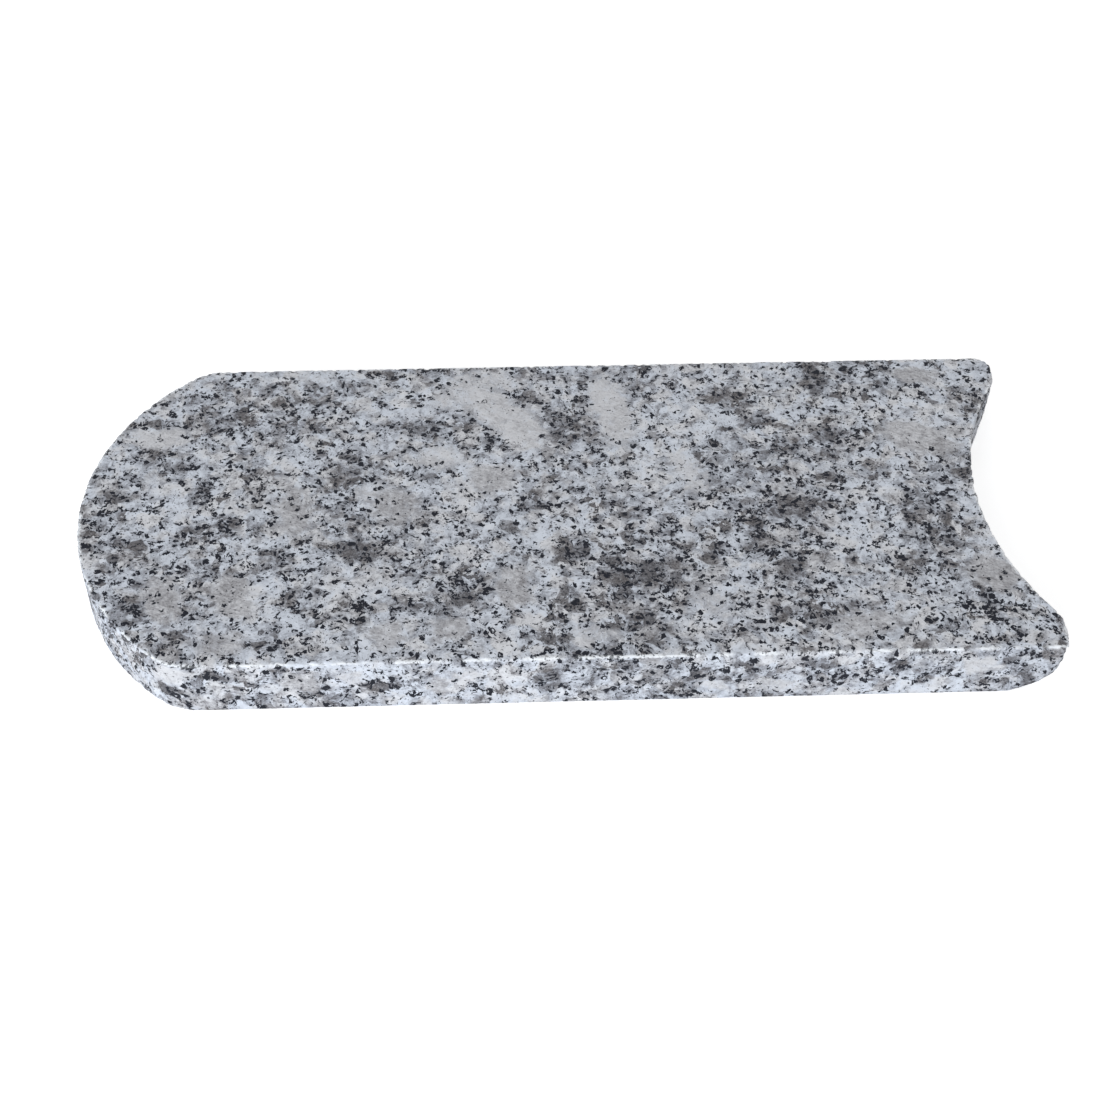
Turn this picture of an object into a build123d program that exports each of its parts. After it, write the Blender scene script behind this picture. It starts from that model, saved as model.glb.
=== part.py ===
from build123d import *

import os
from math import sqrt

# A flat granite edging kerb, sawn from slab and laid end to end with others along a lawn or a bed.
# One end is a round nose and the other a hollow, so that each nose turns in the next stone's hollow
# and a row of stones can follow a curve. The corners beside the nose, and the two horns beside the
# hollow, are dressed back further at the bed than at the top.
# Millimetres. Origin at the middle of the bed, X along the stone towards the hollow, Z up.

# The sawn slab
length = 298.0  # from the tip of the nose to the ends of the horns
width = 130.0
thickness = 20.0

# The nose, and the corners where its arc runs into the long sides
nose_rise = 34.5  # how far the tip stands out beyond those corners
nose_corner_radius_top = 16.0
nose_corner_radius_bed = 21.0

# The hollow, and the two horns that it leaves, each with a short flat end
hollow_ease = 17.0  # how much wider the hollow's arc is than the nose's, so that the joint can turn
horn_width = 12.0  # of the flat end, out to the long side, before its edges are rounded
horn_inner_radius = 11.0  # towards the hollow
horn_outer_radius_top = 1.5  # towards the long side

# The horns are dressed under: a little from the top down to the haunch, and more from there
haunch_height = 5.0
haunch_setback = 1.3
bed_setback = 5.5
horn_outer_radius_haunch = 5.5
horn_outer_radius_bed = 12.0

# The arrises, taken off so that they don't cut
top_arris = 0.4
bed_arris = 0.3

# The plan's arcs and where they lie, which follow from the sizes
half_width = width / 2
nose_tip_x = -length / 2
horn_tip_x = length / 2
nose_corner_x = nose_tip_x + nose_rise
nose_radius = (nose_rise**2 + half_width**2) / (2 * nose_rise)
hollow_radius = nose_radius + hollow_ease
hollow_centre_x = horn_tip_x + sqrt(hollow_radius**2 - (half_width - horn_width) ** 2)
hollow_x = hollow_centre_x - hollow_radius
haunch_share = haunch_height / thickness
nose_corner_radius_haunch = (
    nose_corner_radius_bed + (nose_corner_radius_top - nose_corner_radius_bed) * haunch_share
)


def outline(nose_corner_radius, horn_setback, horn_outer_radius):
    """The stone's plan at one level: nose, long sides, horn ends and hollow, with rounded corners."""
    end_x = horn_tip_x - horn_setback
    inner_y = sqrt(hollow_radius**2 - (hollow_centre_x - end_x) ** 2)
    nose = ThreePointArc((nose_corner_x, -half_width), (nose_tip_x, 0), (nose_corner_x, half_width))
    hollow = ThreePointArc((end_x, inner_y), (hollow_x, 0), (end_x, -inner_y))
    back = Polyline((nose_corner_x, half_width), (end_x, half_width), (end_x, inner_y))
    front = Polyline((end_x, -inner_y), (end_x, -half_width), (nose_corner_x, -half_width))
    plan = make_face([nose, *back.edges(), hollow, *front.edges()])
    plan = fillet(plan.vertices().sort_by(Axis.X)[:2], nose_corner_radius)
    ends = plan.vertices().sort_by(Axis.X)[-4:].sort_by(Axis.Y)
    plan = fillet([ends[0], ends[-1]], horn_outer_radius)
    ends = plan.vertices().sort_by(Axis.X)[-4:].sort_by(Axis.Y)
    return fillet(ends[1:-1], horn_inner_radius)


def kerb_stone():
    """The slab between its bed and its top, drawn in at both faces by the arrises."""
    bed = outline(nose_corner_radius_bed, bed_setback, horn_outer_radius_bed)
    haunch = outline(nose_corner_radius_haunch, haunch_setback, horn_outer_radius_haunch)
    top = outline(nose_corner_radius_top, 0, horn_outer_radius_top)
    levels = [
        offset(bed, -bed_arris),
        Pos(0, 0, bed_arris) * bed,
        Pos(0, 0, haunch_height) * haunch,
        Pos(0, 0, thickness - top_arris) * top,
        Pos(0, 0, thickness) * offset(top, -top_arris),
    ]
    stone = loft([level.face() for level in levels], ruled=True)
    stone.label = "kerb_stone"
    return stone


os.makedirs("parts", exist_ok=True)
export_step(kerb_stone(), "parts/kerb_stone.step")
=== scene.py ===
import math

import bmesh
import bpy
from bpy.props import FloatProperty, FloatVectorProperty, PointerProperty
from mathutils import Matrix, Quaternion, Vector, noise
from mathutils.kdtree import KDTree


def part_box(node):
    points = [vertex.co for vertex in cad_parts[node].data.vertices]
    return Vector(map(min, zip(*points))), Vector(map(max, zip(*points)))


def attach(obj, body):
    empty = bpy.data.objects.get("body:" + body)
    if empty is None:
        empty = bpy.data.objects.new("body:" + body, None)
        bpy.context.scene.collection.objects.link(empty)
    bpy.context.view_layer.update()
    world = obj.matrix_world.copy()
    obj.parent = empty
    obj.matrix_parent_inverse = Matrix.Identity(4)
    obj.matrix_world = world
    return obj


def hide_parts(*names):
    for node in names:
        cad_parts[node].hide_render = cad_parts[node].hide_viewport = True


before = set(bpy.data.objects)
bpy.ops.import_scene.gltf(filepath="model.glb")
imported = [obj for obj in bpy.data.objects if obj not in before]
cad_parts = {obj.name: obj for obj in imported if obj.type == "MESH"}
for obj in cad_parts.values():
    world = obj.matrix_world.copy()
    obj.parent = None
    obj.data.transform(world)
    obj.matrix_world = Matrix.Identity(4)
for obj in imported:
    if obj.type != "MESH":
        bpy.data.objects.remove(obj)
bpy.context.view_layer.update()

bl_info = {
    "name": "Granite Kerb Stone",
    "version": (1, 0, 0),
    "blender": (4, 5, 0),
    "location": "View3D > Sidebar > Kerb",
    "description": "Dresses a sawn granite edging kerb with broken arrises, relief and mineral grain",
    "category": "Add Mesh",
}

STONE_NODE = "kerb_stone"
METRE = 1000.0  # in millimetres, the unit of the places and sizes in the granite
X_AXIS, Y_AXIS, Z_AXIS = Matrix.Identity(3)
STONE_LOW, STONE_HIGH = (Vector(corner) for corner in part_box(STONE_NODE))

# What shows on the top, in millimetres: x, y, half length, half width, turn in degrees, strength
TOP_SPOTS = {
    "pale": (
        (-16, 41, 21, 8, -50, 0.9),
        (19.5, 42, 20, 7, -80, 0.9),
        (-128, 32, 10, 5, 0, 0.95),
        (43, 11, 12, 5.5, -70, 0.7),
        (-37, 20, 8, 6, 0, 0.6),
        (9, -56, 8, 4.5, 0, 0.55),
        (44, -44, 7, 7, 0, 0.55),
        (-80, 60, 7, 4, 0, 0.55),
        (-24, 57, 13, 6, 0, 0.75),
        (-32, 49, 8, 7, 0, 0.6),
        (-58, 6, 7, 5, 0, 0.6),
    ),
    "beige": (
        (-20, 11, 9, 8, 0, 0.9),
        (119, 26, 15, 9, -25, 0.9),
        (122, 57, 10, 5, 0, 0.9),
        (-98, -38, 11, 7, -70, 1.0),
        (132, -35, 10, 7, -35, 1.0),
        (-119, -38, 12, 6, -80, 0.9),
        (-51, -2, 9, 10, 0, 0.8),
        (-82, -2, 13, 6, -80, 0.9),
        (-14, -36, 11, 6, 80, 0.9),
        (89, -54, 13, 6, 5, 0.8),
        (-33, -53, 7, 6, 0, 0.8),
        (-101, -56, 8, 6, 0, 0.7),
        (-52, -55, 6, 7, 0, 0.8),
    ),
    "clot": (
        (-61, -20, 10, 5, -5, 1.0),
        (73, -4, 11, 7, -15, 0.9),
        (3, 34, 5.5, 9, 0, 0.5),
        (91.5, 27, 4.5, 5, 0, 0.9),
        (75, 23.5, 4.5, 5.5, 0, 0.9),
        (-28, -36, 9, 5.5, 25, 0.4),
        (5, -21, 7, 6, 0, 0.9),
        (31, -32, 8, 7, 0, 0.8),
        (89, 55, 4, 9, 0, 0.9),
        (-109, 39, 6, 6, 0, 0.8),
        (-129, 23, 6, 5, 0, 0.8),
        (116, -18, 11, 8, -20, 0.8),
        (136, 44, 6, 9, 0, 0.7),
        (-19, 28, 2.5, 3.5, 0, 1.0),
        (-67, 14, 6, 5, 0, 0.7),
        (-43, 34, 11, 5.5, -10, 0.7),
        (26, -53, 8, 6, 0, 0.8),
        (71, -30, 4.5, 7, -10, 0.9),
        (62, -20, 7, 5, 0, 0.8),
        (60, -9, 5, 5, 0, 0.7),
        (6, 60, 12, 4.5, 0, 0.7),
        (-76, 52, 6, 6, 0, 0.7),
        (-137, 9, 5, 7, 0, 0.7),
        (-133, -18, 5, 5, 0, 0.7),
        (-129, -43, 6, 6, 0, 0.8),
        (18, -30, 6, 6, 0, 0.7),
        (2, -41, 5, 4.5, 0, 0.8),
        (107, -30, 5, 4, 20, 0.8),
        (-8, 0, 4, 4, 0, 0.8),
        (65, -50, 4, 5, 0, 0.7),
        (57, 46, 9, 6, 0, 0.9),
        (66, 37, 7, 4, 0, 0.9),
        (77, -52, 6, 5, 0, 0.8),
        (90, -46, 7, 3.5, 0, 0.6),
        (-104, -8, 5, 6, 0, 0.8),
        (-113, -12, 7, 5, 0, 0.7),
        (-111, 5, 5, 5, 0, 0.8),
        (-89, -10, 5, 5, 0, 0.7),
        (-88, -24, 7, 5, 0, 0.7),
        (-78, -39, 8, 6, 0, 0.9),
        (-85, -55, 6, 5, 0, 0.7),
        (-64, -46, 8, 5, 0, 0.8),
        (112, -4, 8, 6, 0, 0.7),
        (125, -12, 7, 6, 0, 0.7),
    ),
}
# What shows on the front wall: x, z, half length, half height, turn in degrees, strength
FRONT_SPOTS = {
    "pale": (
        (-116, 15.5, 6.5, 4.5, 0, 1.0),
        (-63, 13.5, 5, 3, 0, 0.7),
        (-28.5, 13.5, 5, 3, 0, 0.8),
        (43, 6.5, 6, 2, 0, 0.8),
        (62, 6, 7, 3.5, 0, 0.8),
        (122, 13, 6, 4.5, 0, 0.9),
    ),
    "beige": (
        (-77.5, 12, 6, 4.5, 0, 1.0),
        (-37.5, 8.5, 5, 4, 0, 0.8),
        (26.5, 14.5, 5, 5.5, 0, 0.7),
    ),
    "clot": (
        (-116, 8, 3.5, 3.5, 0, 0.9),
        (-101, 16.5, 4, 2, 0, 0.9),
        (-94, 16.5, 2.5, 1.5, 0, 0.8),
        (-83.5, 18, 3, 1.5, 0, 1.0),
        (-87.5, 10.5, 5, 2, 0, 0.7),
        (-72.5, 8.5, 2.5, 3, 0, 0.7),
        (-59, 8.5, 7, 3, 10, 0.7),
        (-42, 14.5, 5, 2, 10, 0.8),
        (-19, 7.5, 7, 2, -5, 0.8),
        (-4.5, 14, 3.5, 4, 0, 1.0),
        (-3.5, 7, 5, 2.5, 0, 0.8),
        (32, 7.5, 4, 2, 20, 0.9),
        (40, 12, 6, 2, 20, 0.9),
        (55.5, 12.5, 4, 2, 0, 0.8),
        (75, 14.5, 5, 3.5, 0, 0.7),
        (97.5, 14.5, 5, 3, -15, 1.0),
        (110, 10, 10, 1.5, 43, 1.0),
        (124.5, 7, 4, 2.5, 0, 0.6),
        (137.5, 8, 3, 5, 0, 0.8),
        (140, 17.5, 8, 2, 0, 0.8),
    ),
}
# How deep the large spots go and how their outlines wander, in millimetres
SPOT_DEPTH = 8.0
SPOT_SEED = 3  # makes the outlines wander alike in each run
SPOT_WAVE, SPOT_SHIFT = 5.0, 2.5
SPOT_RIPPLE = 1.7
# Where a spot ends and over how much of it the edge fades, as shares of its half length
SPOT_END, SPOT_FADE = 1.25, 0.6

# Rings of points on the wall that lie closer together, and those that round the haunch's crease
ARRIS_RINGS, FOOT_RINGS, CREASE_REACH = 4, 2, 4
# Rings of faces on the top beside the arris, as shares of the arris's step
TOP_INSETS = 0.8, 0.9, 1.0
BED_MARGIN = 1.5  # width of the border round the bed, as a share of the wall's relief
SLIVER = 0.000001  # how far inside the top and the bed their outlines are cut, in metres
FLUSH = 0.00001  # how near to the top or the bed a point counts as on it, in metres

# Sizes of the bumps that weather the faces, in millimetres
GRIT_SIZES = 1.2, 0.6
LUMP_SIZE = 2.6
NICK_SIZE = 2.2
SAW_MARK_SIZE = 2.4
CHIP_LUMP_SIZE = 1.3
SAWN_SHARE = 0.2  # how rough the sawn long walls are beside the dressed ends
# Corners that are knocked off: x, y, z, radius and depth in millimetres
CHIPS = (
    (149, 65, 20, 4.0, 1.9),
    (149, -65, 20, 3.2, 1.5),
    (149, -63, 17.2, 3.4, 1.2),
)

CRYSTAL_SIZE = 6.0  # of the granite's middling crystals, in millimetres
QUARTZ_TONE = 0.64  # the darkest tone of the ground, where 0.3 is the palest
GRAIN_RELIEF = 0.00012  # of the bumps that only the shading shows, in metres
COOL_TINT = 0.983, 1.0, 1.024, 1.0
WARM_TINT = 1.04, 1.0, 0.955, 1.0

SENSOR_WIDTH = 36.0  # of the camera, in millimetres
# The lights and the floor, in metres
LIGHT_SIZE = 1.0
FRONT_LIGHT_PLACE = -0.8, -1.2, 0.64
FRONT_LIGHT_COLOUR = 0.955, 1.0, 1.06
END_LIGHT_PLACE = 1.3, 0.1, 0.5
END_LIGHT_COLOUR = 1.0, 1.0, 1.0
FLOOR_HALF_WIDTH = 3.0
FLOOR_COLOUR = 0.8, 0.8, 0.8, 1.0
FLOOR_GLOW = 0.55  # what makes the floor white to the camera


class KerbShape(bpy.types.PropertyGroup):
    """Sizes of the stone's worked surface."""

    edge_step: FloatProperty(
        name="Edge Step",
        description="Spacing of points along the outline",
        default=0.0006,
        unit="LENGTH",
    )
    wall_step: FloatProperty(
        name="Wall Step",
        description="Spacing of points down the walls",
        default=0.0008,
        unit="LENGTH",
    )
    top_step: FloatProperty(
        name="Top Step",
        description="Spacing of points across the top",
        default=0.0013,
        unit="LENGTH",
    )
    bed_step: FloatProperty(
        name="Bed Step",
        description="Spacing of points across the bed",
        default=0.0024,
        unit="LENGTH",
    )
    arris_step: FloatProperty(
        name="Arris Step",
        description="Spacing of points across the arrises",
        default=0.00035,
        unit="LENGTH",
    )
    nick_depth: FloatProperty(
        name="Nick Depth",
        description="How deep the arrises are nicked",
        default=0.0009,
        unit="LENGTH",
    )
    nick_width: FloatProperty(
        name="Nick Width",
        description="How far the nicks reach from the arris",
        default=0.0016,
        unit="LENGTH",
    )
    wall_relief: FloatProperty(
        name="Wall Relief",
        description="How rough the walls of the two ends are",
        default=0.0010,
        unit="LENGTH",
    )
    top_relief: FloatProperty(
        name="Top Relief",
        description="How rough the sawn top is",
        default=0.00012,
        unit="LENGTH",
    )


class KerbFinish(bpy.types.PropertyGroup):
    """Colours of the granite's minerals, and of the painted highlight along the arris."""

    albite: FloatVectorProperty(
        name="Albite",
        description="The palest crystals",
        default=(0.64, 0.665, 0.71),
        subtype="COLOR",
    )
    feldspar: FloatVectorProperty(
        name="Feldspar",
        description="Pale bluish ground",
        default=(0.545, 0.565, 0.605),
        subtype="COLOR",
    )
    grey: FloatVectorProperty(
        name="Grey",
        description="Grey grains between the pale ones",
        default=(0.35, 0.36, 0.39),
        subtype="COLOR",
    )
    quartz: FloatVectorProperty(
        name="Quartz",
        description="Smoky grey grains",
        default=(0.122, 0.118, 0.124),
        subtype="COLOR",
    )
    mica: FloatVectorProperty(
        name="Mica",
        description="Black flecks",
        default=(0.011, 0.0125, 0.019),
        subtype="COLOR",
    )
    # the pale colour along the top arris: partly crushed crystals, partly a painted highlight where
    # light catches the arris
    bruise_and_highlight: FloatVectorProperty(
        name="Bruise",
        description="Crushed crystals along the arris",
        default=(0.80, 0.82, 0.84),
        subtype="COLOR",
    )


class KerbStage(bpy.types.PropertyGroup):
    """Camera and lights."""

    elevation: FloatProperty(
        name="Elevation",
        description="Camera above the floor",
        default=math.radians(46.62),
        subtype="ANGLE",
    )
    azimuth: FloatProperty(
        name="Azimuth",
        description="Camera round the stone",
        default=math.radians(-2.748),
        subtype="ANGLE",
    )
    roll: FloatProperty(
        name="Roll",
        description="Camera about its own axis",
        default=math.radians(0.756),
        subtype="ANGLE",
    )
    distance: FloatProperty(
        name="Distance",
        description="Camera from the stone",
        default=0.6071,
        unit="LENGTH",
    )
    lens: FloatProperty(
        name="Lens",
        description="Focal length of the camera",
        default=60.65,
        unit="CAMERA",
    )
    aim_right: FloatProperty(
        name="Aim Right",
        description="Aim beside the stone's middle",
        default=0.00115,
        unit="LENGTH",
    )
    aim_up: FloatProperty(
        name="Aim Up",
        description="Aim over the stone's middle",
        default=-0.00482,
        unit="LENGTH",
    )
    sky: FloatProperty(
        name="Sky",
        description="Level of light from all round",
        default=0.5,
    )
    key: FloatProperty(
        name="Key",
        description="Power of the soft front light",
        default=22.0,
        unit="POWER",
    )
    fill: FloatProperty(
        name="Fill",
        description="Power of the soft end light",
        default=4.5,
        unit="POWER",
    )


class KerbSettings(bpy.types.PropertyGroup):
    """All that a user would change."""

    shape: PointerProperty(type=KerbShape)
    finish: PointerProperty(type=KerbFinish)
    stage: PointerProperty(type=KerbStage)


class Graph:
    """Adds linked nodes to a node tree."""

    def __init__(self, tree):
        self.tree = tree

    def add(self, kind, inputs=None, **settings):
        """A new node with its settings made, and its inputs linked or set."""
        node = self.tree.nodes.new(kind)
        for name, value in settings.items():
            setattr(node, name, value)
        for key, value in (inputs or {}).items():
            if isinstance(value, bpy.types.NodeSocket):
                self.tree.links.new(value, node.inputs[key])
            else:
                node.inputs[key].default_value = value
        return node

    def show(self, output, shader):
        """Links a shader to a new output node."""
        self.add(output, {"Surface": shader.outputs[0]})

    def math(self, operation, *values):
        """One sum on numbers."""
        return self.add("ShaderNodeMath", dict(enumerate(values)), operation=operation).outputs[0]

    def plus(self, base, value, share):
        """A number with a share of another one added."""
        return self.math("MULTIPLY_ADD", value, share, base)

    def sway(self, base, wave, reach):
        """A number moved up and down by a wave between 0 and 1."""
        return self.plus(base, self.math("SUBTRACT", wave, 0.5), reach)

    def vector(self, operation, *values):
        """One sum on vectors."""
        node = self.add("ShaderNodeVectorMath", dict(enumerate(values)), operation=operation)
        return node.outputs["Vector"]

    def scaled(self, vector, scale):
        """A vector times a number."""
        inputs = {"Vector": vector, "Scale": scale}
        return self.add("ShaderNodeVectorMath", inputs, operation="SCALE").outputs["Vector"]

    def attribute(self, name):
        """A number that the mesh holds at its vertices."""
        return self.add("ShaderNodeAttribute", attribute_name=name).outputs["Fac"]

    def parts(self, colour):
        """A colour's red, green and blue."""
        return self.add("ShaderNodeSeparateColor", {"Color": colour}).outputs

    def blend(self, factor, under, over):
        """One number laid over another."""
        return self.add("ShaderNodeMix", {0: factor, 2: under, 3: over}).outputs[0]

    def mix(self, factor, under, over, blend_type="MIX"):
        """One colour laid over another."""
        inputs = {0: factor, 6: under, 7: over}
        return self.add("ShaderNodeMix", inputs, data_type="RGBA", blend_type=blend_type).outputs[2]

    def ramp(self, value, table):
        """A colour that runs through the table's stops as the value grows."""
        node = self.add("ShaderNodeValToRGB", {"Fac": value})
        stops = node.color_ramp.elements
        stops.remove(stops[1])
        for i, (at, colour) in enumerate(table):
            stop = stops.new(at) if i else stops[0]
            stop.position = at
            stop.color = (*colour, 1.0)
        return node.outputs["Color"]

    def ease(self, value, low, high, start=0.0, end=1.0):
        """A smooth step from start to end while the value goes from low to high."""
        inputs = {"Value": value, "From Min": low, "From Max": high, "To Min": start, "To Max": end}
        node = self.add("ShaderNodeMapRange", inputs, interpolation_type="SMOOTHSTEP")
        return node.outputs["Result"]

    def noise(self, vector, size, detail=1.0, roughness=0.5, output="Fac"):
        """Cloudy noise whose clouds are about the given size."""
        inputs = {"Vector": vector, "Scale": 1.0 / size, "Detail": detail, "Roughness": roughness}
        return self.add("ShaderNodeTexNoise", inputs).outputs[output]

    def cells(self, vector, size, feature="F1", **inputs):
        """A pattern of cells of about the given size."""
        inputs |= {"Vector": vector, "Scale": 1.0 / size}
        return self.add("ShaderNodeTexVoronoi", inputs, feature=feature).outputs

    def warp(self, vector, size, reach):
        """A vector shaken by cloudy noise."""
        shake = self.vector("SUBTRACT", self.noise(vector, size, output="Color"), (0.5, 0.5, 0.5))
        return self.vector("ADD", vector, self.scaled(shake, reach))

    def seen(self):
        """One for what the camera sees, also in a mirror or through glass, and otherwise zero."""
        ray = self.add("ShaderNodeLightPath").outputs
        direct = self.math("MAXIMUM", ray["Is Camera Ray"], ray["Is Glossy Ray"])
        return self.math("MAXIMUM", direct, ray["Is Transmission Ray"])


def new_material(name):
    """An empty material, and the graph to fill it with."""
    material = bpy.data.materials.new(name)
    material.use_nodes = True
    material.node_tree.nodes.clear()
    return material, Graph(material.node_tree)


def grains_group():
    """Scattered grains of one mineral: each cell of the pattern may hold one."""
    tree = bpy.data.node_groups.new("Grains", "ShaderNodeTree")
    tree.interface.new_socket("Vector", in_out="INPUT", socket_type="NodeSocketVector")
    for label in ("Size", "Share", "Blur"):
        tree.interface.new_socket(label, in_out="INPUT", socket_type="NodeSocketFloat")
    tree.interface.new_socket("Mask", in_out="OUTPUT", socket_type="NodeSocketFloat")
    graph = Graph(tree)
    given = graph.add("NodeGroupInput").outputs
    scale = graph.math("DIVIDE", 1.0, given["Size"])
    cells = graph.add("ShaderNodeTexVoronoi", {"Vector": given["Vector"], "Scale": scale}).outputs
    dice = graph.parts(cells["Color"])
    present = graph.math("LESS_THAN", dice["Red"], given["Share"])
    radius = graph.plus(0.225, dice["Green"], share=0.55)
    inner = graph.math("SUBTRACT", radius, given["Blur"])
    outer = graph.math("ADD", radius, given["Blur"])
    blob = graph.ease(cells["Distance"], inner, outer, start=1.0, end=0.0)
    blob = graph.math("MULTIPLY", blob, graph.plus(0.4, dice["Blue"], share=0.6))
    graph.add("NodeGroupOutput", {"Mask": graph.math("MULTIPLY", blob, present)})
    return tree


def granite_material(finish):
    """Feldspar, quartz and mica in three dimensions, with crushed crystals and a painted highlight along
    the arris.
    """
    material, graph = new_material("granite")
    place = graph.scaled(graph.add("ShaderNodeTexCoord").outputs["Object"], METRE)
    broad = graph.warp(place, size=6.0, reach=3.0)
    shaken = graph.warp(broad, size=0.8, reach=0.35)
    cloud = graph.noise(broad, size=3.4, detail=3.0, roughness=0.8)
    fine = graph.noise(shaken, size=0.6)

    # The large pale and beige crystals, and the middling ones between them
    pale = graph.ease(graph.sway(graph.attribute("pale"), cloud, reach=1.8), low=0.10, high=1.0)
    beige = graph.ease(graph.sway(graph.attribute("beige"), cloud, reach=1.1), low=0.20, high=0.95)
    large = graph.math("MAXIMUM", pale, graph.math("MULTIPLY", beige, 0.7))
    middling = graph.cells(shaken, CRYSTAL_SIZE, feature="SMOOTH_F1", Smoothness=0.25)
    kind = graph.parts(middling["Color"])
    rim = graph.cells(shaken, CRYSTAL_SIZE, feature="DISTANCE_TO_EDGE")["Distance"]
    rim = graph.ease(rim, low=0.02, high=0.20, start=1.0, end=0.0)

    # How thick the dark minerals lie
    grain = graph.cells(shaken, size=2.2)
    zone = graph.noise(place, size=26.0, detail=0.0)
    blocks = graph.noise(grain["Position"], size=6.5, detail=2.0, roughness=0.9)
    crowd = graph.plus(-0.197, zone, share=0.2)
    crowd = graph.plus(crowd, blocks, share=0.54)
    crowd = graph.plus(crowd, cloud, share=0.58)
    crowd = graph.plus(crowd, graph.attribute("clot"), share=0.13)

    # Grains of quartz, and flecks of mica that gather in nests
    grains = grains_group()
    room = graph.plus(1.0, large, share=-0.9)
    chance = graph.ease(crowd, low=0.40, high=0.64, start=0.08, end=0.62)
    inputs = {"Vector": shaken, "Size": 5.0, "Share": graph.math("MULTIPLY", chance, room), "Blur": 0.3}
    quartz = graph.add("ShaderNodeGroup", inputs, node_tree=grains).outputs["Mask"]
    chance = graph.plus(crowd, rim, share=0.10)
    chance = graph.ease(chance, low=0.38, high=0.62, start=0.07, end=0.80)
    inputs = {"Vector": shaken, "Size": 1.9, "Share": graph.math("MULTIPLY", chance, room), "Blur": 0.25}
    nest = graph.add("ShaderNodeGroup", inputs, node_tree=grains).outputs["Mask"]
    fleck = graph.noise(shaken, size=0.92, detail=2.0, roughness=0.65)
    fleck = graph.plus(fleck, nest, share=0.29)
    fleck = graph.plus(fleck, large, share=-0.05)
    fleck = graph.ease(fleck, low=0.61, high=0.67)

    # The ground's tone, from pale to dark
    inputs = {"Vector": broad, "Rotation": (0.0, 0.0, -0.5), "Scale": (2.2, 0.7, 0.7)}
    along = graph.add("ShaderNodeMapping", inputs, vector_type="TEXTURE").outputs["Vector"]
    strands = graph.noise(along, size=1.0, detail=2.0)
    mottle = graph.noise(place, size=2.6, detail=3.0)
    speckle = graph.noise(shaken, size=1.5, detail=2.0)
    tone = graph.sway(crowd, graph.parts(grain["Color"])["Red"], reach=0.06)
    tone = graph.sway(tone, kind["Green"], reach=0.07)
    tone = graph.plus(tone, quartz, share=0.18)
    tone = graph.math("SMOOTH_MIN", tone, QUARTZ_TONE, 0.10)
    for mask, start, streak in ((pale, 0.345, 0.2), (beige, 0.46, 0.3)):
        inside = graph.sway(graph.plus(start, mottle, share=0.12), strands, streak)
        tone = graph.blend(graph.math("MULTIPLY", mask, 0.75), tone, inside)
    tone = graph.sway(tone, fine, reach=0.16)
    tone = graph.sway(tone, speckle, reach=0.12)
    table = (
        (0.30, finish.albite),
        (0.42, finish.feldspar),
        (0.52, finish.grey),
        (QUARTZ_TONE, finish.quartz),
        (0.74, finish.mica),
    )
    colour = graph.ramp(tone, table)

    # Cool and warm crystals, where quartz is warmer in the weathered top than in the walls
    drift = graph.noise(graph.vector("ADD", broad, (71.0, 13.0, 5.0)), size=5.0, detail=2.0)
    warm = graph.plus(drift, kind["Red"], share=0.4)
    warm = graph.ease(warm, low=0.55, high=0.95, end=0.9)
    rise = graph.add("ShaderNodeSeparateXYZ", {"Vector": place}).outputs["Z"]
    skin = STONE_HIGH.z * METRE
    stain = graph.ease(rise, low=skin - 1.5, high=skin - 0.5, start=0.25)
    smoky = graph.math("MULTIPLY", graph.plus(0.3, kind["Red"], share=0.7), stain)
    for mask, level in ((quartz, smoky), (pale, 0.95), (beige, 0.95)):
        warm = graph.math("MAXIMUM", warm, graph.math("MULTIPLY", mask, level))
    colour = graph.mix(1.0, colour, graph.mix(warm, COOL_TINT, WARM_TINT), blend_type="MULTIPLY")
    colour = graph.mix(fleck, colour, (*finish.mica, 1.0))

    # Crushed crystals along the arris, with a painted highlight where light catches the arris
    ragged = graph.noise(place, size=1.3, detail=2.0)
    edge = graph.plus(graph.math("MULTIPLY", graph.attribute("arris"), METRE), ragged, share=2.0)
    # pale band beside the arris: partly crushed crystals, partly painted highlight
    chalk_and_highlight = graph.ease(edge, low=1.15, high=1.9, start=0.85, end=0.0)
    patches = graph.ease(graph.noise(place, size=9.0, detail=2.0), low=0.42, high=0.56)
    chalk_and_highlight = graph.math("MULTIPLY", chalk_and_highlight, patches)
    chalk_and_highlight = graph.math("MULTIPLY", chalk_and_highlight, graph.ease(fleck, low=0.0, high=1.0, start=1.0, end=0.3))
    colour = graph.mix(chalk_and_highlight, colour, (*finish.bruise_and_highlight, 1.0))

    height = graph.plus(fine, cloud, share=0.6)
    inputs = {"Height": height, "Strength": 0.5, "Distance": GRAIN_RELIEF}
    normal = graph.add("ShaderNodeBump", inputs).outputs["Normal"]
    inputs = {
        "Base Color": colour,
        "Roughness": graph.ease(fleck, low=0.0, high=1.0, start=0.8, end=0.5),
        "Specular IOR Level": 0.12,
        "Normal": normal,
    }
    graph.show("ShaderNodeOutputMaterial", graph.add("ShaderNodeBsdfPrincipled", inputs))
    return material


def floor_material():
    """A pale floor that the camera sees as white, with the stone's shadow on it."""
    material, graph = new_material("floor")
    strength = graph.math("MULTIPLY", graph.seen(), FLOOR_GLOW)
    glow = graph.add("ShaderNodeEmission", {"Strength": strength})
    matt = graph.add("ShaderNodeBsdfDiffuse", {"Color": FLOOR_COLOUR})
    both = graph.add("ShaderNodeAddShader", {0: glow.outputs[0], 1: matt.outputs[0]})
    graph.show("ShaderNodeOutputMaterial", both)
    return material


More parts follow.
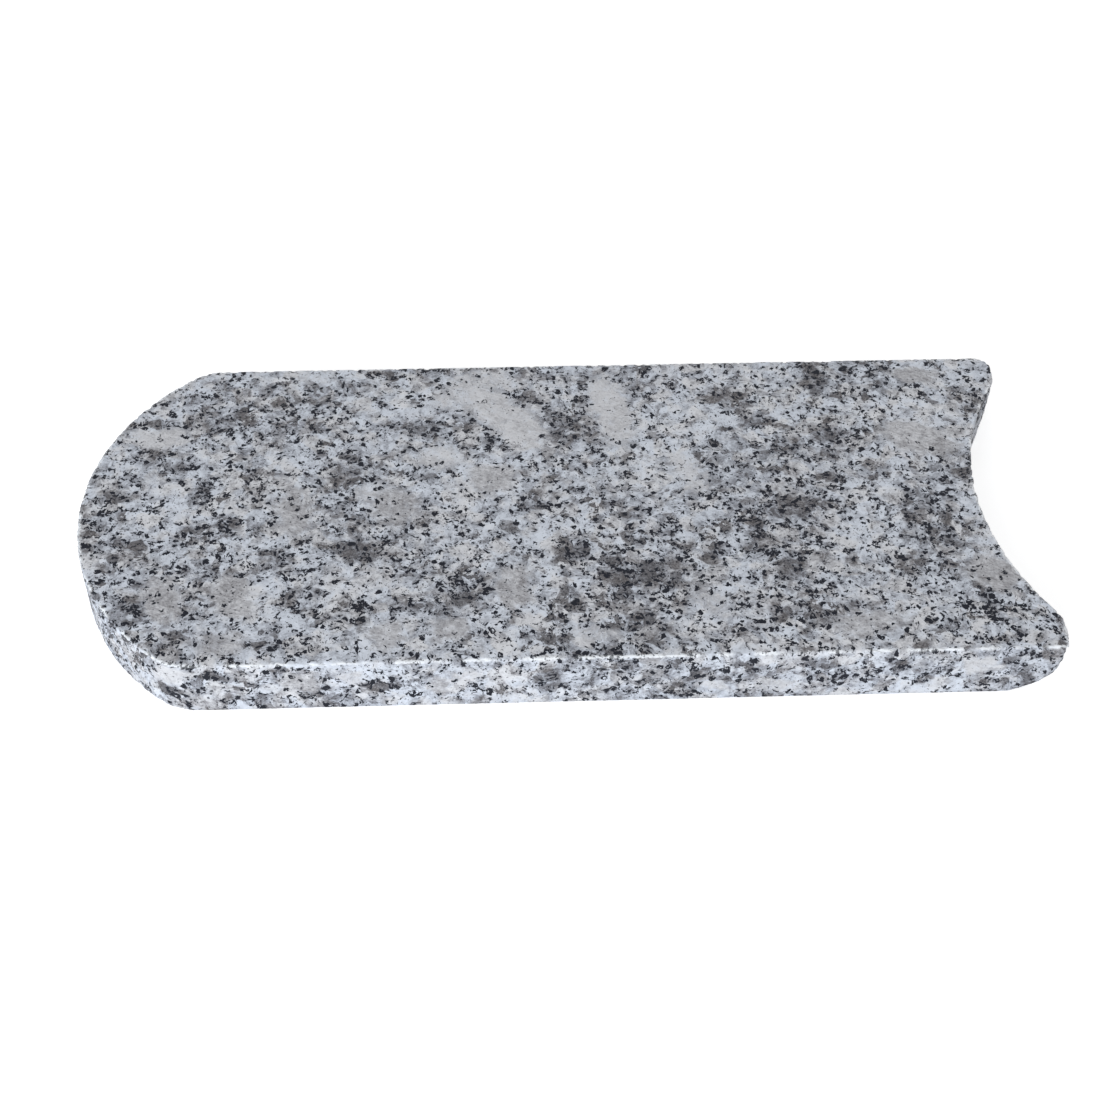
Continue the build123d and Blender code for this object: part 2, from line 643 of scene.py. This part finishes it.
def mark_spots(bm):
    """Says at each vertex how far it lies in a pale crystal, a beige one or a dark clot."""
    noise.seed_set(SPOT_SEED)
    bm.verts.ensure_lookup_table()
    tree = KDTree(len(bm.verts))
    for i, vert in enumerate(bm.verts):
        spot = vert.co * METRE
        wave = noise.noise_vector(spot / SPOT_WAVE) * SPOT_SHIFT
        tree.insert(spot + wave + noise.noise_vector(spot / SPOT_RIPPLE), i)
    tree.balance()
    low, high = STONE_LOW * METRE, STONE_HIGH * METRE
    for name in TOP_SPOTS:
        layer = bm.verts.layers.float.new(name)
        eggs = [(Vector((x, y, high.z)), Z_AXIS, *rest) for x, y, *rest in TOP_SPOTS[name]]
        eggs += [(Vector((x, low.y, z)), -Y_AXIS, *rest) for x, z, *rest in FRONT_SPOTS[name]]
        for middle, outward, half_length, half_width, turn, strength in eggs:
            along = X_AXIS.copy()
            along.rotate(Quaternion(outward, math.radians(turn)))
            across = outward.cross(along)
            reach = SPOT_END * max(half_length, half_width, SPOT_DEPTH)
            for spot, index, _ in tree.find_range(middle, reach):
                offset = spot - middle
                parts = (
                    offset.dot(along) / half_length,
                    offset.dot(across) / half_width,
                    offset.dot(outward) / SPOT_DEPTH,
                )
                mask = strength * min(1.0, (SPOT_END - Vector(parts).length) / SPOT_FADE)
                vert = bm.verts[index]
                vert[layer] = max(vert[layer], mask)


def half_outline(solid, height):
    """The solid's outline at a height, from the nose's tip round the front to the hollow's middle."""
    cut = solid.copy()
    for place, normal, both in ((height * Z_AXIS, Z_AXIS, True), (Vector(), Y_AXIS, False)):
        geom = cut.verts[:] + cut.edges[:] + cut.faces[:]
        bmesh.ops.bisect_plane(
            cut, geom=geom, plane_co=place, plane_no=normal, clear_outer=True, clear_inner=both
        )
    vert = min((v for v in cut.verts if len(v.link_edges) == 1), key=lambda v: v.co.x)
    chain = [vert.co.copy()]
    walked = set()
    while True:
        edge = next((e for e in vert.link_edges if e not in walked), None)
        if edge is None:
            break
        walked.add(edge)
        vert = edge.other_vert(vert)
        chain.append(vert.co.copy())
    cut.free()
    return chain


def outline_parts(solid, height):
    """The half outline's two parts, from the nose to the horn's corner and on to the hollow."""
    chain = half_outline(solid, height)
    corner = max(range(len(chain)), key=lambda i: chain[i].x - chain[i].y)
    return chain[: corner + 1], chain[corner:]


def spaced(chain, count):
    """Points at even steps along a chain, without its last one."""
    lengths = [(b - a).length for a, b in zip(chain, chain[1:])]
    step = sum(lengths) / count
    points = []
    gone = 0.0
    at = 0
    for i in range(count):
        while at < len(lengths) - 1 and gone + lengths[at] < i * step:
            gone += lengths[at]
            at += 1
        points.append(chain[at].lerp(chain[at + 1], (i * step - gone) / lengths[at]))
    return points


def ring_points(solid, height, counts):
    """A ring of points round the solid at a height, with one at each horn's corner."""
    side, end = outline_parts(solid, height)
    front = spaced(side, counts[0]) + spaced(end, counts[1]) + [end[-1]]
    back = [Vector((p.x, -p.y, p.z)) for p in reversed(front[1:-1])]
    return front + back


def ring_counts(solid, height, step):
    """How many steps each part of the half outline is divided into."""
    counts = []
    for part in outline_parts(solid, height):
        length = sum((b - a).length for a, b in zip(part, part[1:]))
        counts.append(round(length / step))
    return counts


def wall_levels(shape):
    """Heights of the rings down the wall, closer at the arrises."""
    fine = shape.arris_step
    high = STONE_HIGH.z - (ARRIS_RINGS + 1) * fine
    low = (FOOT_RINGS + 1) * fine
    count = round((high - low) / shape.wall_step)
    levels = [STONE_HIGH.z - fine * i for i in range(1, ARRIS_RINGS + 1)]
    levels += [high + (low - high) * i / count for i in range(count + 1)]
    return levels + [fine * i for i in range(FOOT_RINGS, 0, -1)]


def soften(rings, reach):
    """Rounds the haunch's crease: each ring is drawn to the mean of those above and below it."""
    soft = []
    for i, ring in enumerate(rings):
        near = min(reach, i, len(rings) - 1 - i)
        columns = zip(*rings[i - near : i + near + 1])
        middles = [sum(column, Vector()) / len(column) for column in columns]
        soft.append([Vector((*middle.xy, point.z)) for middle, point in zip(middles, ring)])
    return soft


def ring_edges(bm, ring):
    """The edges from each vertex of a ring to the next."""
    return [bm.edges.get((a, b)) for a, b in zip(ring, ring[1:] + ring[:1])]


def pull_wall(bm, ring, rings):
    """Extrudes a ring of vertices down through the rings of points below it."""
    for points in rings:
        made = bmesh.ops.extrude_edge_only(bm, edges=ring_edges(bm, ring))["geom"]
        fresh = {item for item in made if isinstance(item, bmesh.types.BMVert)}
        lower = []
        for vert, point in zip(ring, points):
            below = next(e.other_vert(vert) for e in vert.link_edges if e.other_vert(vert) in fresh)
            below.co = point
            lower.append(below)
        ring = lower
    return ring


def inset(bm, face, thickness):
    """Draws a flat face in by an even border, and returns the border's faces."""
    made = bmesh.ops.inset_region(bm, faces=[face], thickness=thickness, use_even_offset=True)
    return made["faces"]


def grid_face(bm, face, step):
    """Cuts one flat face into small squares."""
    done = [face]
    for axis, direction in ((0, X_AXIS), (1, Y_AXIS)):
        todo, done = done, []
        low, high = STONE_LOW[axis], STONE_HIGH[axis]
        count = round((high - low) / step)
        for i in range(1, count):
            geom = set(todo)
            for f in todo:
                geom.update(f.edges)
                geom.update(f.verts)
            at = low + (high - low) * i / count
            cut = bmesh.ops.bisect_plane(
                bm, geom=list(geom), plane_co=direction * at, plane_no=direction
            )
            todo = []
            for f in cut["geom"]:
                if isinstance(f, bmesh.types.BMFace):
                    (done if f.calc_center_median()[axis] < at else todo).append(f)
        done += todo
    return done


def mark_arris(bm, rim):
    """Says at each vertex how far it lies from the top arris."""
    layer = bm.verts.layers.float.new("arris")
    tree = KDTree(len(rim))
    for i, point in enumerate(rim):
        tree.insert(point, i)
    tree.balance()
    for vert in bm.verts:
        down = STONE_HIGH.z - vert.co.z
        vert[layer] = down if down > FLUSH else tree.find(vert.co)[2]
    return layer


def chip_depth(spot):
    """How much is knocked off at a place, both in millimetres."""
    total = 0.0
    for x, y, z, radius, depth in CHIPS:
        gap = (spot - Vector((x, y, z))).length / radius
        if gap < 1.0:
            total += depth * (1.0 - gap) * (1.0 + 0.4 * noise.noise(spot / CHIP_LUMP_SIZE))
    return total


def weather(bm, shape, arris):
    """Nicks the arrises and roughens the faces, always into the stone."""
    bm.normal_update()
    moves = []
    for vert in bm.verts:
        spot = vert.co * METRE
        top = vert.normal.z
        foot = vert.co.z < FLUSH
        outward = vert.normal.xy.normalized() if foot else vert.normal.xy
        end = 1.0 - abs(outward.y) ** 4
        grit = sum(0.6 * noise.noise(spot / size) for size in GRIT_SIZES)
        rough = max(0.0, 0.15 + 0.9 * noise.noise(spot / LUMP_SIZE) + grit)
        wall = shape.wall_relief * (SAWN_SHARE + (1.0 - SAWN_SHARE) * end) * rough
        flat = shape.top_relief * (0.5 - 0.5 * noise.noise(spot / SAW_MARK_SIZE))
        depth = flat * max(0.0, top) + wall * (1.0 if foot else 1.0 - abs(top))
        nick = max(0.0, noise.noise(spot / NICK_SIZE) + grit)
        near = max(0.0, 1.0 - vert[arris] / shape.nick_width)
        depth += shape.nick_depth * nick * near * near
        depth += chip_depth(spot) / METRE
        move = vert.normal * -depth
        if foot:
            move.z = 0.0
        moves.append(move)
    for vert, move in zip(bm.verts, moves):
        vert.co += move


def stone_mesh(node, shape):
    """The stone as a dense, weathered mesh on the solid's faces."""
    solid = bmesh.new()
    solid.from_mesh(node.data)
    bmesh.ops.remove_doubles(solid, verts=solid.verts[:], dist=SLIVER)
    rim_height = STONE_HIGH.z - SLIVER
    counts = ring_counts(solid, rim_height, shape.edge_step)
    rim = ring_points(solid, rim_height, counts)
    rings = [ring_points(solid, level, counts) for level in wall_levels(shape)]
    rings[ARRIS_RINGS:-FOOT_RINGS] = soften(rings[ARRIS_RINGS:-FOOT_RINGS], CREASE_REACH)
    foot = ring_points(solid, SLIVER, counts)
    solid.free()
    for point in rim:
        point.z = STONE_HIGH.z
    for point in foot:
        point.z = STONE_LOW.z

    bm = bmesh.new()
    bmesh.ops.create_circle(bm, cap_ends=True, segments=len(rim), radius=STONE_HIGH.x)
    top = bm.faces[:][0]
    ring = list(top.verts)
    for vert, point in zip(ring, rim):
        vert.co = point
    foot_ring = pull_wall(bm, ring, rings + [foot])
    bed = bmesh.ops.contextual_create(bm, geom=ring_edges(bm, foot_ring))["faces"][0]
    for share in TOP_INSETS:
        inset(bm, top, share * shape.arris_step)
    flat_faces = inset(bm, bed, BED_MARGIN * shape.wall_relief)
    grid_face(bm, top, shape.top_step)
    flat_faces += grid_face(bm, bed, shape.bed_step)
    bmesh.ops.recalc_face_normals(bm, faces=bm.faces[:])
    arris = mark_arris(bm, rim)
    mark_spots(bm)
    weather(bm, shape, arris)
    for face in bm.faces:
        face.smooth = True
    for face in flat_faces:
        face.smooth = False
    return bm


class KERB_OT_stone(bpy.types.Operator):
    """Builds the stone on the frame's solid"""

    bl_idname = "kerb.stone"
    bl_label = "Stone"

    def execute(self, context):
        settings = context.scene.kerb
        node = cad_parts[STONE_NODE]
        bm = stone_mesh(node, settings.shape)
        mesh = bpy.data.meshes.new("sawn_stone")
        bm.to_mesh(mesh)
        bm.free()
        mesh.materials.append(granite_material(settings.finish))
        stone = bpy.data.objects.new("sawn_stone", mesh)
        context.scene.collection.objects.link(stone)
        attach(stone, "root")
        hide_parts(STONE_NODE)
        return {"FINISHED"}


def place_camera(scene, stage):
    """Puts the camera where the stone was seen from."""
    el, az = stage.elevation, stage.azimuth
    back = Vector((math.sin(az) * math.cos(el), -math.cos(az) * math.cos(el), math.sin(el)))
    level = Vector((math.cos(az), math.sin(az), 0.0))
    right = math.cos(stage.roll) * level + math.sin(stage.roll) * back.cross(level)
    up = back.cross(right)
    data = bpy.data.cameras.new("camera")
    data.lens = stage.lens
    data.sensor_width = SENSOR_WIDTH
    camera = bpy.data.objects.new("camera", data)
    place = back * stage.distance + right * stage.aim_right + up * stage.aim_up
    turn = Matrix((right, up, back)).transposed().to_4x4()
    camera.matrix_world = Matrix.Translation(place) @ turn
    scene.collection.objects.link(camera)
    scene.camera = camera


def soft_light(scene, name, place, power, colour):
    """A square soft light that faces the stone."""
    data = bpy.data.lights.new(name, "AREA")
    data.size = LIGHT_SIZE
    data.energy = power
    data.color = colour
    lamp = bpy.data.objects.new(name, data)
    lamp.location = place
    lamp.rotation_euler = Vector(place).to_track_quat("Z", "Y").to_euler()
    scene.collection.objects.link(lamp)


def light_world(scene, level):
    """Even light from all round, which the camera sees as white."""
    world = bpy.data.worlds.new("studio")
    world.use_nodes = True
    world.node_tree.nodes.clear()
    graph = Graph(world.node_tree)
    strength = graph.plus(level, graph.seen(), share=1.0 - level)
    light = graph.add("ShaderNodeBackground", {"Color": (1.0, 1.0, 1.0, 1.0), "Strength": strength})
    graph.show("ShaderNodeOutputWorld", light)
    scene.world = world


class KERB_OT_stage(bpy.types.Operator):
    """Sets the floor, the lights and the camera"""

    bl_idname = "kerb.stage"
    bl_label = "Stage"

    def execute(self, context):
        scene = context.scene
        stage = scene.kerb.stage
        scene.view_settings.view_transform = "Standard"
        bm = bmesh.new()
        bmesh.ops.create_grid(bm, x_segments=1, y_segments=1, size=FLOOR_HALF_WIDTH)
        mesh = bpy.data.meshes.new("floor")
        bm.to_mesh(mesh)
        bm.free()
        mesh.materials.append(floor_material())
        floor = bpy.data.objects.new("floor", mesh)
        scene.collection.objects.link(floor)
        light_world(scene, stage.sky)
        soft_light(scene, "front_light", FRONT_LIGHT_PLACE, stage.key, FRONT_LIGHT_COLOUR)
        soft_light(scene, "end_light", END_LIGHT_PLACE, stage.fill, END_LIGHT_COLOUR)
        place_camera(scene, stage)
        return {"FINISHED"}


class KERB_PT_panel(bpy.types.Panel):
    """Lists the pieces and their settings"""

    bl_label = "Granite Kerb Stone"
    bl_idname = "KERB_PT_panel"
    bl_space_type = "VIEW_3D"
    bl_region_type = "UI"
    bl_category = "Kerb"

    def draw(self, context):
        settings = context.scene.kerb
        for group in (settings.shape, settings.finish, settings.stage):
            box = self.layout.box()
            for name in group.__annotations__:
                box.prop(group, name)
        self.layout.operator("kerb.stone")
        self.layout.operator("kerb.stage")


CLASSES = (KerbShape, KerbFinish, KerbStage, KerbSettings, KERB_OT_stone, KERB_OT_stage, KERB_PT_panel)


def register():
    for cls in CLASSES:
        bpy.utils.register_class(cls)
    bpy.types.Scene.kerb = PointerProperty(type=KerbSettings)


def unregister():
    del bpy.types.Scene.kerb
    for cls in reversed(CLASSES):
        bpy.utils.unregister_class(cls)


def main():
    register()
    bpy.ops.kerb.stone()
    bpy.ops.kerb.stage()


if __name__ == "__main__":
    main()
